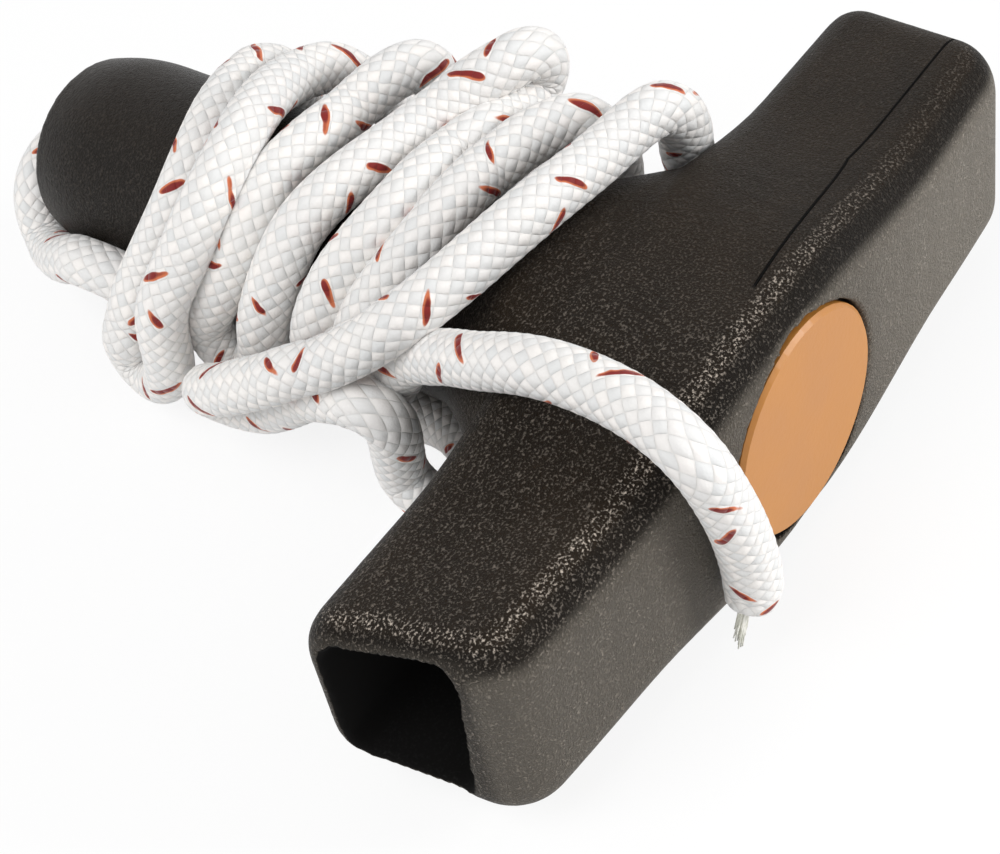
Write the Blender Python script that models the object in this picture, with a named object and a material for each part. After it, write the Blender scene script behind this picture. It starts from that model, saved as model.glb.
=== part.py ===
"""Recoil starter handle: a moulded T grip with a sprung rope anchor and its rope.

The grip lies on its side. The bar runs along X, the stem runs along Y to its
nose, and Z is up. The floor is z = 0. All sizes are in metres.
"""

import math

import bmesh
import bpy
from mathutils import Vector

# Grip bar
GRIP_LENGTH = 0.0888
BAR_DEPTH = 0.0204
BAR_THICKNESS = 0.0229
FACE_CROWN = 0.0019
BAR_DRAFT = 0.0008
END_SLANT = 0.0040
END_ROUND = 0.0042
FACE_EDGE_ROUND = 0.0045
BACK_EDGE_ROUND = 0.0050

# Hub and stem
OVERALL_DEPTH = 0.0890
HUB_THICKNESS = 0.0290
HUB_REACH = 0.0280
HUB_FLAT = 0.0035
STEM_DIAMETER = 0.0222
NOSE_DIAMETER = 0.0198
NOSE_TAPER = 0.0085
NOSE_EDGE_ROUND = 0.0014
NOSE_MOUTH = 0.0012
SHOULDER_FILLET = 0.0160
SHOULDER_DEPTH = 0.0180

# Walls, gaps and clearances
WALL = 0.0026
SEAT_GAP = 0.0003
RUNNING_GAP = 0.0005
END_WALL = 0.0034
POCKET_SHIFT = 0.00115
POCKET_LEAN = 0.0007
POCKET_CORNER = 0.0022

# Cap
CAP_DIAMETER = 0.0225
CAP_THICKNESS = 0.0022
CAP_SKIRT = 0.0050
CAP_SKIRT_WALL = 0.0014

# Rope and its sprung anchor
ROPE_DIAMETER = 0.0049
ANCHOR_TRAVEL = 0.0100
KNOT_DIAMETER = 0.0115
KNOT_LENGTH = 0.0100
FLANGE_THICKNESS = 0.0030
GUIDE_LENGTH = 0.0140
GUIDE_WALL = 0.0018
SPRING_WIRE = 0.0016
SPRING_TURNS = 8

# The winding over the stem, as the reach of its bundle about the stem's axis
HANK_NOSE_Y = 0.0300
HANK_HUB_Y = -0.0115
HANK_CREST_RADIUS = 0.0168
HANK_BASE_RADIUS = 0.0225
HANK_TOP_RADIUS = 0.0205
HANK_BASE_ANGLE = -128.0
HANK_TOP_ANGLE = 68.0

# The rope's route points outside the winding, x, y and z
LEAD_ROUTE = (
    (0.0000, 0.0455, 0.0145),
    (-0.0014, 0.0472, 0.0146),
    (-0.0042, 0.0479, 0.0146),
    (-0.0078, 0.0477, 0.0143),
    (-0.0111, 0.0466, 0.0134),
    (-0.0133, 0.0436, 0.0124),
    (-0.0140, 0.0396, 0.0119),
    (-0.0141, 0.0355, 0.0118),
)
TAIL_ROUTE = (
    (-0.0143, -0.0140, 0.0219),
    (-0.0152, -0.0168, 0.0248),
    (-0.0158, -0.0195, 0.0271),
    (-0.0163, -0.0228, 0.0291),
    (-0.0167, -0.0290, 0.0304),
    (-0.0168, -0.0370, 0.0305),
    (-0.0175, -0.0428, 0.0297),
    (-0.0176, -0.0462, 0.0266),
    (-0.0166, -0.0474, 0.0220),
    (-0.0152, -0.0475, 0.0155),
    (-0.0147, -0.0474, 0.0090),
    (-0.0160, -0.0473, 0.0038),
)

# Number of flats on round shapes
ROUND_STEPS = 48
CORNER_STEPS = 6

# What follows from the sizes above
HALF_LENGTH = GRIP_LENGTH / 2
FACE_Y = -OVERALL_DEPTH / 2
NOSE_Y = OVERALL_DEPTH / 2
HUB_HALF = HUB_THICKNESS / 2
AXIS_Z = HUB_HALF
BAR_BACK_Y = FACE_Y + FACE_CROWN + BAR_DEPTH
STEM_RADIUS = STEM_DIAMETER / 2
ROPE_RADIUS = ROPE_DIAMETER / 2
ROPE_HOLE_RADIUS = ROPE_RADIUS + RUNNING_GAP
CAP_RADIUS = CAP_DIAMETER / 2
CAP_SEAT_Y = FACE_Y + CAP_THICKNESS + SEAT_GAP
BORE_RADIUS = STEM_RADIUS - WALL
BORE_END_Y = NOSE_Y - 2.6 * WALL
SKIRT_END_Y = CAP_SEAT_Y - SEAT_GAP + CAP_SKIRT
KNOT_Y = SKIRT_END_Y + SEAT_GAP
FLANGE_Y = KNOT_Y + KNOT_LENGTH + SEAT_GAP
SPRING_Y = FLANGE_Y + FLANGE_THICKNESS + SEAT_GAP
SPRING_END_Y = BORE_END_Y - SEAT_GAP


def clear_scene():
    """Empties the scene."""
    for old in list(bpy.data.objects):
        bpy.data.objects.remove(old, do_unlink=True)


def material(name, color, roughness, metallic=0.0):
    """A plain Principled material."""
    found = bpy.data.materials.new(name)
    found.use_nodes = True
    shader = found.node_tree.nodes["Principled BSDF"]
    shader.inputs["Base Color"].default_value = (*color, 1.0)
    shader.inputs["Roughness"].default_value = roughness
    shader.inputs["Metallic"].default_value = metallic
    return found


def mesh_object(name, points, faces, look=None, origin=(0.0, 0.0, 0.0)):
    """A mesh object whose origin lies at a given point of the world."""
    base = Vector(origin)
    mesh = bpy.data.meshes.new(name)
    mesh.from_pydata([Vector(p) - base for p in points], [], faces)
    mesh.validate()
    shape = bmesh.new()
    shape.from_mesh(mesh)
    bmesh.ops.recalc_face_normals(shape, faces=shape.faces)
    shape.to_mesh(mesh)
    shape.free()
    obj = bpy.data.objects.new(name, mesh)
    obj.location = base
    bpy.context.collection.objects.link(obj)
    if look:
        mesh.materials.append(look)
    return obj


def loft(name, rings, look=None, origin=(0.0, 0.0, 0.0)):
    """Joins closed rings of equal length into a solid with flat ends."""
    count = len(rings[0])
    points = [p for ring in rings for p in ring]
    faces = [tuple(range(count))]
    for row in range(len(rings) - 1):
        first = row * count
        for i in range(count):
            j = (i + 1) % count
            faces.append((first + i, first + j, first + count + j, first + count + i))
    last = (len(rings) - 1) * count
    faces.append(tuple(last + i for i in reversed(range(count))))
    return mesh_object(name, points, faces, look, origin)


def turned(name, profile, look=None, steps=ROUND_STEPS, hole=False):
    """Turns (radius, y) points about the stem's axis."""
    rings = []
    for radius, y in profile:
        ring = []
        for i in range(steps):
            turn = 2 * math.pi * (i + 0.5) / steps
            x = radius * math.sin(turn)
            z = AXIS_Z + radius * math.cos(turn)
            ring.append((x, y, z))
        rings.append(ring)
    middle = (0.0, (profile[0][1] + profile[-1][1]) / 2, AXIS_Z)
    if not hole:
        return loft(name, rings, look, middle)
    points = [p for ring in rings for p in ring]
    faces = []
    for row in range(len(rings)):
        after = (row + 1) % len(rings)
        for i in range(steps):
            j = (i + 1) % steps
            a, b = row * steps, after * steps
            faces.append((a + i, a + j, b + j, b + i))
    return mesh_object(name, points, faces, look, middle)


def as_cutter(obj):
    """Hides a helper solid that only shapes another one."""
    obj.hide_render = True
    obj.display_type = "WIRE"
    return obj


def combine(target, other, operation):
    """Adds a Boolean of a helper solid to the target."""
    step = target.modifiers.new(other.name, "BOOLEAN")
    step.operation = operation
    step.solver = "EXACT"
    step.object = as_cutter(other)


def eased(value):
    """A soft step from 0 to 1."""
    t = min(max(value, 0.0), 1.0)
    return t * t * (3 - 2 * t)


def bar_section(x, inset, spread):
    """One ring of the bar at x, drawn in by inset near the rounded ends."""
    near_hub = 1 - eased((abs(x) - HUB_FLAT) / (HUB_REACH - HUB_FLAT))
    half = BAR_THICKNESS / 2 + (HUB_HALF - BAR_THICKNESS / 2) * near_hub - inset
    front = FACE_Y + FACE_CROWN * (x / HALF_LENGTH) ** 2 + inset
    back = FACE_Y + FACE_CROWN + BAR_DEPTH - inset
    face = max(FACE_EDGE_ROUND - inset, 0.0008)
    rear = max(BACK_EDGE_ROUND - inset, 0.0008)
    thin = half - 2 * BAR_DRAFT * (1 - near_hub)
    corners = (
        (front + face, half - face, face),
        (back - rear, thin - rear, rear),
        (back - rear, rear - thin, rear),
        (front + face, face - half, face),
    )
    ring = []
    for number, (cy, cz, radius) in enumerate(corners):
        for i in range(CORNER_STEPS + 1):
            turn = math.pi * (1.0 - number / 2) - math.pi / 2 * i / CORNER_STEPS
            y = cy + radius * math.cos(turn)
            z = cz + radius * math.sin(turn)
            lean = spread * (y - (front + back) / 2)
            ring.append((x + lean, y, AXIS_Z + z))
    return ring


def bar_stations():
    """Where the bar's rings stand, with how far each is drawn in."""
    body = HALF_LENGTH - END_ROUND
    edge = HUB_REACH
    inner = [HUB_FLAT + (edge - HUB_FLAT) * i / 9 for i in range(10)]
    stations = [(0.0, 0.0)] + [(x, 0.0) for x in inner]
    stations += [(edge + (body - edge) * i / 3, 0.0) for i in (1, 2, 3)]
    for i in range(1, CORNER_STEPS + 1):
        turn = math.pi / 2 * i / CORNER_STEPS
        reach = body + END_ROUND * math.sin(turn)
        stations.append((reach, END_ROUND * (1 - math.cos(turn))))
    mirrored = [(-x, inset) for x, inset in reversed(stations[1:])]
    return mirrored + stations


def make_bar(look):
    """The bar with its crowned outer face, slanted ends and shoulders."""
    rings = []
    for x, inset in bar_stations():
        lean = END_SLANT / BAR_DEPTH * x / HALF_LENGTH
        rings.append(bar_section(x, inset, lean))
    return loft("grip_body", rings, look, (0.0, 0.0, AXIS_Z))


def stem_stations():
    """The stem's (y, half width, half height) from inside the hub to the nose."""
    root = BAR_BACK_Y - BACK_EDGE_ROUND
    tall = HUB_HALF - 0.0002
    stations = [(FACE_Y + 2 * WALL, STEM_RADIUS, STEM_RADIUS)]
    for i in range(9):
        t = i / 8
        turn = math.pi / 2 * t
        y = root + SHOULDER_DEPTH * math.sin(turn)
        wide = STEM_RADIUS + SHOULDER_FILLET * (1 - math.sin(turn)) ** 1.5
        high = STEM_RADIUS + (tall - STEM_RADIUS) * (0.5 + 0.5 * math.cos(math.pi * t))
        stations.append((y, wide, high))
    nose = NOSE_DIAMETER / 2
    taper_y = NOSE_Y - NOSE_TAPER
    for i in range(7):
        t = i / 6
        radius = STEM_RADIUS - (STEM_RADIUS - nose) * t * t
        stations.append((taper_y + (NOSE_TAPER - NOSE_EDGE_ROUND) * t, radius, radius))
    for i in range(1, 5):
        turn = math.pi / 2 * i / 4
        radius = nose - NOSE_EDGE_ROUND * (1 - math.cos(turn))
        stations.append((NOSE_Y - NOSE_EDGE_ROUND * (1 - math.sin(turn)), radius, radius))
    return stations


def make_stem():
    """The round stem that flares into the bar's back."""
    rings = []
    for y, wide, high in stem_stations():
        ring = []
        for i in range(ROUND_STEPS):
            turn = 2 * math.pi * (i + 0.5) / ROUND_STEPS
            ring.append((wide * math.sin(turn), y, AXIS_Z + high * math.cos(turn)))
        rings.append(ring)
    return loft("stem_outside", rings, None, (0.0, 0.0, AXIS_Z))


def bore_profile():
    """The hollow in the stem, from the cap's seat to the rope hole."""
    lip = 2 * WALL
    return [
        (CAP_RADIUS + SEAT_GAP, FACE_Y - lip),
        (CAP_RADIUS + SEAT_GAP, CAP_SEAT_Y),
        (BORE_RADIUS, CAP_SEAT_Y),
        (BORE_RADIUS, BORE_END_Y),
        (ROPE_HOLE_RADIUS, BORE_END_Y),
        (ROPE_HOLE_RADIUS, NOSE_Y - NOSE_MOUTH),
        (ROPE_HOLE_RADIUS + NOSE_MOUTH, NOSE_Y),
        (ROPE_HOLE_RADIUS + NOSE_MOUTH, NOSE_Y + lip),
    ]


def pocket(side):
    """The tapered core space in one end of the bar."""
    middle_y = BAR_BACK_Y - BAR_DEPTH / 2 + POCKET_SHIFT
    mouth_y = BAR_DEPTH / 2 - END_WALL - POCKET_SHIFT / 2
    mouth_z = BAR_THICKNESS / 2 - END_WALL + BAR_DRAFT / 2
    floor_x = BORE_RADIUS + WALL
    rings = []
    for x, draft in ((floor_x, 0.0008), (HALF_LENGTH + WALL, 0.0)):
        ring = []
        for number in range(4):
            sign_y = 1 if number in (0, 3) else -1
            sign_z = 1 if number < 2 else -1
            radius = POCKET_CORNER
            cy = sign_y * (mouth_y - draft - radius)
            thin = BAR_DRAFT if sign_y > 0 else -BAR_DRAFT
            cz = sign_z * (mouth_z - thin - draft - radius)
            for i in range(CORNER_STEPS + 1):
                turn = math.pi / 2 * (number + i / CORNER_STEPS)
                y = middle_y + cy + radius * math.cos(turn)
                z = cz + radius * math.sin(turn)
                if sign_y < 0:
                    y -= POCKET_LEAN * z / mouth_z
                ring.append((side * x, y, AXIS_Z + z))
        rings.append(ring)
    return loft("pocket_right" if side > 0 else "pocket_left", rings)


def make_grip(look):
    """The one-piece moulding."""
    grip = make_bar(look)
    combine(grip, make_stem(), "UNION")
    combine(grip, turned("bore_space", bore_profile()), "DIFFERENCE")
    for side in (-1, 1):
        combine(grip, pocket(side), "DIFFERENCE")
    return grip


def make_cap(look):
    """The round cap with the skirt that plugs into the bore."""
    outer = FACE_Y
    edge = 0.0004
    skirt = BORE_RADIUS - SEAT_GAP
    under = outer + CAP_THICKNESS
    profile = [
        (CAP_RADIUS - edge, outer),
        (CAP_RADIUS, outer + edge),
        (CAP_RADIUS, under),
        (skirt, under),
        (skirt, SKIRT_END_Y),
        (skirt - CAP_SKIRT_WALL, SKIRT_END_Y),
        (skirt - CAP_SKIRT_WALL, under),
    ]
    return turned("cap", profile, look)


def make_plunger(look):
    """The flanged cup that the knot pulls against the spring."""
    hole = ROPE_HOLE_RADIUS
    profile = [
        (hole, FLANGE_Y),
        (BORE_RADIUS - RUNNING_GAP, FLANGE_Y),
        (BORE_RADIUS - RUNNING_GAP, FLANGE_Y + FLANGE_THICKNESS),
        (hole + GUIDE_WALL, FLANGE_Y + FLANGE_THICKNESS),
        (hole + GUIDE_WALL, FLANGE_Y + FLANGE_THICKNESS + GUIDE_LENGTH),
        (hole, FLANGE_Y + FLANGE_THICKNESS + GUIDE_LENGTH),
    ]
    return turned("rope_anchor", profile, look, hole=True)


def make_spring(look):
    """The coil spring between the anchor's flange and the end of the bore."""
    coil_radius = BORE_RADIUS - RUNNING_GAP - SPRING_WIRE
    wire = SPRING_WIRE / 2
    length = SPRING_END_Y - SPRING_Y - SPRING_WIRE
    steps = SPRING_TURNS * 20
    rings = []
    for k in range(steps + 1):
        t = k / steps
        ends = min(t, 1 - t) * SPRING_TURNS
        turn = 2 * math.pi * SPRING_TURNS * t
        rise = min(ends, 1.0)
        y = SPRING_Y + wire + length * t
        if ends < 1.0:
            base = SPRING_Y + wire if t < 0.5 else SPRING_Y + wire + length
            y = base + (y - base) * (0.35 + 0.65 * rise)
        out = Vector((math.sin(turn), 0.0, math.cos(turn)))
        ring = []
        for i in range(8):
            angle = 2 * math.pi * i / 8
            point = out * (coil_radius + wire * math.cos(angle))
            ring.append((point.x, y + wire * math.sin(angle), AXIS_Z + point.z))
        rings.append(ring)
    middle = (0.0, (SPRING_Y + SPRING_END_Y) / 2, AXIS_Z)
    return loft("damper_spring", rings, look, middle)


def smooth_route(points, spacing):
    """Points at about equal spacing on a smooth curve through the route."""
    route = [Vector(p) for p in points]
    ends = [route[0] * 2 - route[1]] + route + [route[-1] * 2 - route[-2]]
    fine = []
    for k in range(1, len(ends) - 2):
        a, b, c, d = ends[k - 1 : k + 3]
        for i in range(16):
            t = i / 16
            fine.append(
                0.5
                * (
                    2 * b
                    + (c - a) * t
                    + (2 * a - 5 * b + 4 * c - d) * t**2
                    + (3 * b - a - 3 * c + d) * t**3
                )
            )
    fine.append(route[-1])
    along = [0.0]
    for first, after in zip(fine, fine[1:]):
        along.append(along[-1] + (after - first).length)
    count = max(2, round(along[-1] / spacing))
    chosen = []
    k = 0
    for i in range(count + 1):
        want = along[-1] * i / count
        while k < len(along) - 2 and along[k + 1] < want:
            k += 1
        part = (want - along[k]) / max(along[k + 1] - along[k], 1e-9)
        chosen.append(fine[k].lerp(fine[k + 1], min(max(part, 0.0), 1.0)))
    return chosen


def rope_tube(name, points, look, spacing):
    """A plain rope stretch: a round tube with closed ends."""
    curve = bpy.data.curves.new(name, "CURVE")
    curve.dimensions = "3D"
    curve.bevel_depth = ROPE_RADIUS
    curve.bevel_resolution = 3
    curve.use_fill_caps = True
    curve.materials.append(look)
    chosen = smooth_route(points, spacing)
    base = chosen[0].copy()
    spline = curve.splines.new("POLY")
    spline.points.add(len(chosen) - 1)
    for slot, point in zip(spline.points, chosen):
        slot.co = (*(point - base), 1.0)
    obj = bpy.data.objects.new(name, curve)
    obj.location = base
    bpy.context.collection.objects.link(obj)
    return obj


def make_core(look):
    """The straight rope from the knot through the anchor, spring and nose."""
    profile = [(ROPE_RADIUS, FLANGE_Y), (ROPE_RADIUS, NOSE_Y - NOSE_MOUTH - SEAT_GAP)]
    return turned("rope_core", profile, look, 16)


def make_knot(look):
    """The stopper knot that bears on the anchor's flange."""
    wide = KNOT_DIAMETER / 2
    end = FLANGE_Y - SEAT_GAP
    profile = []
    for i in range(17):
        t = i / 16
        swell = math.sin(math.pi * (0.04 + 0.92 * t)) ** 0.6
        lobes = 1 - 0.07 * (1 - math.cos(4 * math.pi * t))
        profile.append((wide * swell * lobes, end - KNOT_LENGTH * (1 - t)))
    return turned("rope_knot", profile, look, 24)


def hank_ring(angle):
    """One section of the bundle, at an angle about the stem's axis."""
    low, high = HANK_BASE_ANGLE, HANK_TOP_ANGLE
    base = eased((-40.0 - angle) / (-40.0 - low))
    top = eased((angle - 10.0) / (high - 10.0))
    outer = HANK_CREST_RADIUS + (HANK_BASE_RADIUS - HANK_CREST_RADIUS) * base
    outer += (HANK_TOP_RADIUS - HANK_CREST_RADIUS) * top
    inner = STEM_RADIUS + SEAT_GAP + 0.0001
    lift = (HANK_TOP_RADIUS - ROPE_DIAMETER - inner) * top
    lift += (HANK_BASE_RADIUS - 1.6 * ROPE_DIAMETER - inner) * base
    inner += max(lift, 0.0)
    flare = 0.0035
    nose, hub = HANK_NOSE_Y - 0.004 * top, HANK_HUB_Y
    soft = 0.0016
    outline = (
        (inner, nose - soft),
        (inner + soft, nose),
        (outer - soft, nose),
        (outer, nose - soft),
        (outer, hub + soft),
        (outer - soft, hub),
        (inner + flare + 0.0002, hub),
        (inner + flare, hub + 0.0005),
        (inner, hub + 3.2 * flare),
    )
    turn = math.radians(angle)
    ring = []
    for radius, y in outline:
        ring.append((radius * math.sin(turn), y, AXIS_Z + radius * math.cos(turn)))
    return ring


def make_hank(look):
    """The closed bundle of turns that lies over the stem, on the floor side."""
    steps = 22
    span = HANK_TOP_ANGLE - HANK_BASE_ANGLE
    rings = [hank_ring(HANK_BASE_ANGLE + span * i / steps) for i in range(steps + 1)]
    return loft("rope_hank", rings, look, (0.0, 0.0, AXIS_Z))


def make_rope(look):
    """The rope's stretches outside the grip and the winding between them."""
    start = (0.0, NOSE_Y - NOSE_MOUTH, AXIS_Z)
    joined = (-0.0140, HANK_NOSE_Y + SEAT_GAP, 0.0120)
    rope_tube("rope_lead", (start, *LEAD_ROUTE, joined), look, 0.5 * ROPE_DIAMETER)
    leaves = (-0.0143, HANK_HUB_Y - SEAT_GAP, 0.0218)
    rope_tube("rope_tail", (leaves, *TAIL_ROUTE), look, 0.5 * ROPE_DIAMETER)
    make_hank(look)


def build():
    """Makes every piece."""
    clear_scene()
    black = material("black_plastic", (0.030, 0.028, 0.026), 0.62)
    orange = material("orange_plastic", (0.72, 0.27, 0.07), 0.45)
    white = material("anchor_plastic", (0.62, 0.62, 0.60), 0.45)
    rope = material("braided_rope", (0.80, 0.80, 0.77), 0.80)
    steel = material("spring_steel", (0.55, 0.55, 0.56), 0.30, 1.0)
    make_grip(black)
    make_cap(orange)
    make_plunger(white)
    make_spring(steel)
    make_knot(rope)
    make_core(rope)
    make_rope(rope)


build()
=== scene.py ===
# %% [markdown]
# A recoil starter handle with its rope. The rigid pieces were made as solids in another
# file and arrive here as a fixed frame, in metres, with the floor at z = 0. The bar of the
# grip runs along X, the stem along Y to its nose, and Z is up. This file dresses them:
# it makes the rope, the plastic and its grain, the light and the camera.

# %% Load the frame
import math

import bmesh
import bpy
import numpy as np
from mathutils import Matrix, Vector


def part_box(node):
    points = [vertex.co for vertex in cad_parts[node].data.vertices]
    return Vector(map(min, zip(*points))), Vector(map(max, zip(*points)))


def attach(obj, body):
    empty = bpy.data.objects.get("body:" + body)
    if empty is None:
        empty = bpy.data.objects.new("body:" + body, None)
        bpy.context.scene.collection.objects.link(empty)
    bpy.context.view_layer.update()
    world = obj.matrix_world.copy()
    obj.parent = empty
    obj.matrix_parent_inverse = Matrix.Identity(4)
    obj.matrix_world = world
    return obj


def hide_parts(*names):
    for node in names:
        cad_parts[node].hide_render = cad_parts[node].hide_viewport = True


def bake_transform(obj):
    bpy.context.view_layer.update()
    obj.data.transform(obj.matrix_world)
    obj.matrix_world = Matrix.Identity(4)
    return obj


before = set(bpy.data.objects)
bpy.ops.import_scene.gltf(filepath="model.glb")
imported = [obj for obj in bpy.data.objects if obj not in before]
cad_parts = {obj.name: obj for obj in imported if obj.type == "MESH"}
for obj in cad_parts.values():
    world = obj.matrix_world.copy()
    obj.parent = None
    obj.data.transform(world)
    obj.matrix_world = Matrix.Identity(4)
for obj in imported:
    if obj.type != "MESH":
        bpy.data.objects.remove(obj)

MM = 0.001
scene = bpy.context.scene
scene.view_settings.view_transform = "Standard"
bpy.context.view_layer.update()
print("nodes:", sorted(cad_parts))

# %% [markdown]
# The camera comes first, because every later choice is judged through it. The picture was
# taken from above the near end of the bar, rolled a little to the left. A long lens near
# the object gives the same foreshortening. The view is written as a turn about Z, a height
# above the floor, a roll, the point looked at and the distance to it.

# %% Camera
VIEW_TURN, VIEW_HEIGHT, VIEW_ROLL = -44.61, 46.91, -13.39
LOOK_AT = Vector((-0.0124, -0.0187, 0.0130))
DISTANCE = 0.2092
LENS = 80.86


def add_camera():
    """Places the camera on its line of sight and rolls it about that line."""
    turn, height = math.radians(VIEW_TURN), math.radians(VIEW_HEIGHT)
    back = Vector((
        math.sin(turn) * math.cos(height),
        -math.cos(turn) * math.cos(height),
        math.sin(height),
    ))
    data = bpy.data.cameras.new("camera")
    data.lens = LENS
    data.sensor_width = 36.0
    data.clip_start = 0.01
    camera = bpy.data.objects.new("camera", data)
    camera.rotation_mode = "QUATERNION"
    roll = Matrix.Rotation(math.radians(VIEW_ROLL), 4, "Z").to_quaternion()
    camera.rotation_quaternion = back.to_track_quat("Z", "Y") @ roll
    camera.location = LOOK_AT + back * DISTANCE
    scene.collection.objects.link(camera)
    scene.camera = camera
    return camera


camera = add_camera()
print("camera at", [round(v, 4) for v in camera.location])

# %% [markdown]
# Materials are chains of nodes, and writing each link by hand gets long. The small helper
# below holds one node tree and makes the steps that are used most: arithmetic, colour
# mixing, ramps and noise. Each call returns the output socket, so that calls can be nested
# like a formula. A ramp, here called spread, turns one range of values into another.


# %% Node helpers
class Tree:
    """Short names for the nodes of one material or node group."""

    def __init__(self, tree):
        self.tree = tree
        self.nodes = tree.nodes
        self.links = tree.links

    def node(self, kind, **settings):
        made = self.nodes.new(kind)
        for key, value in settings.items():
            setattr(made, key, value)
        return made

    def feed(self, socket, value):
        if isinstance(value, bpy.types.NodeSocket):
            self.links.new(value, socket)
        else:
            socket.default_value = value

    def math(self, operation, a, b=0.0, clamp=False):
        made = self.node("ShaderNodeMath", operation=operation, use_clamp=clamp)
        for socket, value in zip(made.inputs, (a, b)):
            self.feed(socket, value)
        return made.outputs[0]

    def spread(self, value, low, high, to_low=0.0, to_high=1.0, soft=True):
        made = self.node("ShaderNodeMapRange")
        made.interpolation_type = "SMOOTHSTEP" if soft else "LINEAR"
        for socket, given in zip(made.inputs, (value, low, high, to_low, to_high)):
            self.feed(socket, given)
        return made.outputs[0]

    def times(self, first, *others):
        for other in others:
            first = self.math("MULTIPLY", first, other)
        return first

    def mix(self, share, a, b):
        made = self.node("ShaderNodeMix", data_type="RGBA")
        self.feed(made.inputs[0], share)
        self.feed(made.inputs[6], a)
        self.feed(made.inputs[7], b)
        return made.outputs[2]

    def noise(self, place, scale, detail=2.0, roughness=0.5):
        made = self.node("ShaderNodeTexNoise")
        self.feed(made.inputs["Vector"], place)
        made.inputs["Scale"].default_value = scale
        made.inputs["Detail"].default_value = detail
        made.inputs["Roughness"].default_value = roughness
        return made.outputs[0]

    def bump(self, height, strength, distance, normal=None):
        made = self.node("ShaderNodeBump")
        made.inputs["Strength"].default_value = strength
        made.inputs["Distance"].default_value = distance
        self.feed(made.inputs["Height"], height)
        if normal is not None:
            self.feed(made.inputs["Normal"], normal)
        return made.outputs[0]

    def surface(self, shader, color, rough, normal):
        for name, value in (("Base Color", color), ("Roughness", rough), ("Normal", normal)):
            self.feed(shader.inputs[name], value)

    def place(self, kind="Object"):
        return self.node("ShaderNodeTexCoord").outputs[kind]

    def axes(self, vector):
        made = self.node("ShaderNodeSeparateXYZ")
        self.feed(made.inputs[0], vector)
        return made.outputs

    def background_rays(self):
        """One for the rays that see the white background: camera, glossy and transmission."""
        rays = self.node("ShaderNodeLightPath").outputs
        seen = self.math("MAXIMUM", rays["Is Camera Ray"], rays["Is Glossy Ray"])
        return self.math("MAXIMUM", seen, rays["Is Transmission Ray"])

    def group(self, shared, **values):
        made = self.node("ShaderNodeGroup")
        made.node_tree = shared
        for key, value in values.items():
            self.feed(made.inputs[key.replace("_", " ")], value)
        return made.outputs


def new_group(name, inputs, outputs):
    """A shader node group with named inputs of several kinds and named float outputs."""
    shared = bpy.data.node_groups.new(name, "ShaderNodeTree")
    for label, kind, start in inputs:
        made = shared.interface.new_socket(label, in_out="INPUT", socket_type=kind)
        if start is not None:
            made.default_value = start
    for label in outputs:
        shared.interface.new_socket(label, in_out="OUTPUT", socket_type="NodeSocketFloat")
    tree = Tree(shared)
    return tree, tree.node("NodeGroupInput"), tree.node("NodeGroupOutput")


def new_material(name):
    """A material with its Principled shader, and the helper on its nodes."""
    made = bpy.data.materials.new(name)
    made.use_nodes = True
    tree = Tree(made.node_tree)
    return made, tree, made.node_tree.nodes["Principled BSDF"]


print("helpers ready")

# %% [markdown]
# The grip is moulded in a steel tool whose walls were eroded by sparks, which leaves a
# fine, matt grain of pits about a quarter of a millimetre apart. The same grain, at other
# strengths, is on the cap and on the white anchor. So it is one shared node group: two
# sizes of noise, sharpened into separate pits, given out as a height and as a mask of the
# grain's tops, which catch the light.


# %% Moulded grain group
def grain_group():
    """Height and bright tops of a spark-eroded moulding."""
    tree, start, end = new_group(
        "moulded_grain",
        (
            ("Place", "NodeSocketVector", None),
            ("Scale", "NodeSocketFloat", 2600.0),
            ("Sharpness", "NodeSocketFloat", 0.18),
        ),
        ("Height", "Tops", "Clouds"),
    )
    place, scale = start.outputs["Place"], start.outputs["Scale"]
    fine = tree.node("ShaderNodeTexNoise")
    tree.feed(fine.inputs["Vector"], place)
    tree.feed(fine.inputs["Scale"], scale)
    fine.inputs["Detail"].default_value = 3.0
    fine.inputs["Roughness"].default_value = 0.62
    half = tree.times(scale, 0.42)
    coarse = tree.node("ShaderNodeTexNoise")
    tree.feed(coarse.inputs["Vector"], place)
    tree.feed(coarse.inputs["Scale"], half)
    coarse.inputs["Detail"].default_value = 1.0
    low = tree.math("SUBTRACT", 0.5, start.outputs["Sharpness"])
    high = tree.math("ADD", 0.5, start.outputs["Sharpness"])
    sharp = tree.spread(fine.outputs[0], low, high)
    height = tree.math("ADD", tree.times(sharp, 0.7), coarse.outputs[0])
    tree.feed(end.inputs["Height"], height)
    tree.feed(end.inputs["Tops"], tree.spread(fine.outputs[0], 0.50, 0.66))
    tree.feed(end.inputs["Clouds"], tree.noise(place, 90.0, 3.0, 0.55))
    return tree.tree


grain = grain_group()
print("group", grain.name, "with", len(grain.nodes), "nodes")

# %% [markdown]
# The grip's plastic is black with a warm cast. How it looks depends on where a spot lies, so
# the material asks which way the surface faces and where it is. The stem is made the darkest.
# The rounded edges get a painted shade, darker than the flats. The outer face gets a painted
# sheen where the low lamp on the right lights it, paler towards the far end, and the two tips
# of the bar get a little of it as well.


# %% Colours of the grip
BLACK_DEEP, BLACK_WORN = (0.0150, 0.0092, 0.0044, 1.0), (0.0240, 0.0152, 0.0080, 1.0)
STEM_BLACK = (0.0080, 0.0048, 0.0024, 1.0)
# Painted shade for the rounded edges.
EDGE_SHADE = (0.0050, 0.0034, 0.0020, 1.0)
# Painted shade for the core pockets, also the colour of the parting line.
POCKET_SHADE_AND_SEAM = (0.0035, 0.0032, 0.0030, 1.0)
# Colours of the painted sheen on the outer face and the bar's tips, and its paler tone for the
# far end.
SHEEN_PITS, SHEEN_TOPS = (0.156, 0.137, 0.112, 1.0), (0.220, 0.194, 0.160, 1.0)
SHEEN_FAR = (0.315, 0.282, 0.236, 1.0)
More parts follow.
